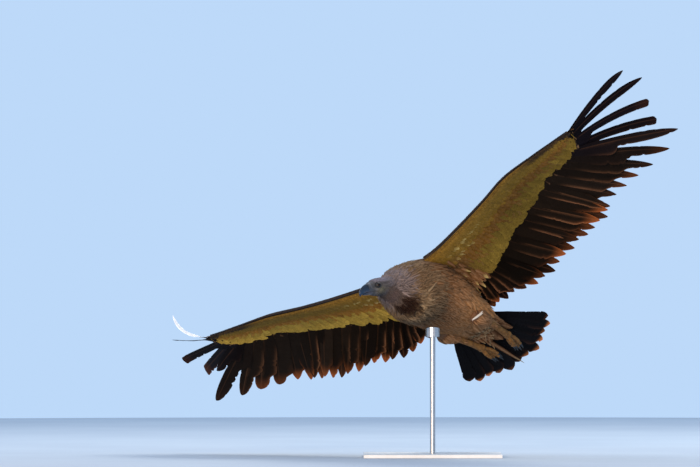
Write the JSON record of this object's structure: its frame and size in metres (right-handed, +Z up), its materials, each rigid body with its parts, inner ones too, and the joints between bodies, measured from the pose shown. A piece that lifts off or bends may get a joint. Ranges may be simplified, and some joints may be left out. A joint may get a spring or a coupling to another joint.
{
  "type": "white-backed vulture, soaring, on display stand",
  "caption": "Life-size still model of a soaring white-backed vulture, wings spread and banked, on a plain steel base with a rod to the belly.",
  "frame": {"origin": "middle of the underside of the stand's base, on the floor", "axes": "+Z up; +X towards the raised left wing's side of the view, across the spread of the wings; the bird flies towards -X and -Y, nose up and left wing up"},
  "size_m": [1.6985, 0.9731, 1.2845],
  "materials": {
    "plumage": "matte overlapping body feathers, brown with pale shaft streaks",
    "ruff": "loose lance-shaped ruff feathers, buff and grey-brown",
    "down": "thin grey-brown down over skin",
    "head": "dark grey skin under sparse down",
    "bill": "dark slate horn, satin",
    "eye": "wet dark eye",
    "coverts": "pale olive-buff and rufous-brown wing coverts, matte",
    "flight_feathers": "blackish-brown vanes with rufous worn edges, faint sheen",
    "leg_skin": "ochre-brown scaled skin",
    "claw": "dark horn",
    "stand_paint": "steel plate, pale grey satin paint",
    "stand_steel": "brushed steel"
  },
  "bodies": {
    "root": {"head": "head", "left_claw_1": "claw", "left_claw_2": "claw", "left_claw_3": "claw", "left_claw_4": "claw", "left_eye": "eye", "left_foot": "leg_skin", "left_forearm": "coverts", "left_hand": "coverts", "left_primaries": "flight_feathers", "left_secondaries": "flight_feathers", "left_shank": "leg_skin", "left_thigh": "plumage", "left_upper_arm": "coverts", "lower_bill": "bill", "neck": "down", "right_claw_1": "claw", "right_claw_2": "claw", "right_claw_3": "claw", "right_claw_4": "claw", "right_eye": "eye", "right_foot": "leg_skin", "right_forearm": "coverts", "right_hand": "coverts", "right_primaries": "flight_feathers", "right_secondaries": "flight_feathers", "right_shank": "leg_skin", "right_thigh": "plumage", "right_upper_arm": "coverts", "ruff": "ruff", "stand_base": "stand_paint", "stand_cradle": "stand_steel", "stand_rod": "stand_steel", "tail_base": "plumage", "tail_feathers": "flight_feathers", "trunk": "plumage", "upper_bill": "bill"}
  },
  "joints": []
}
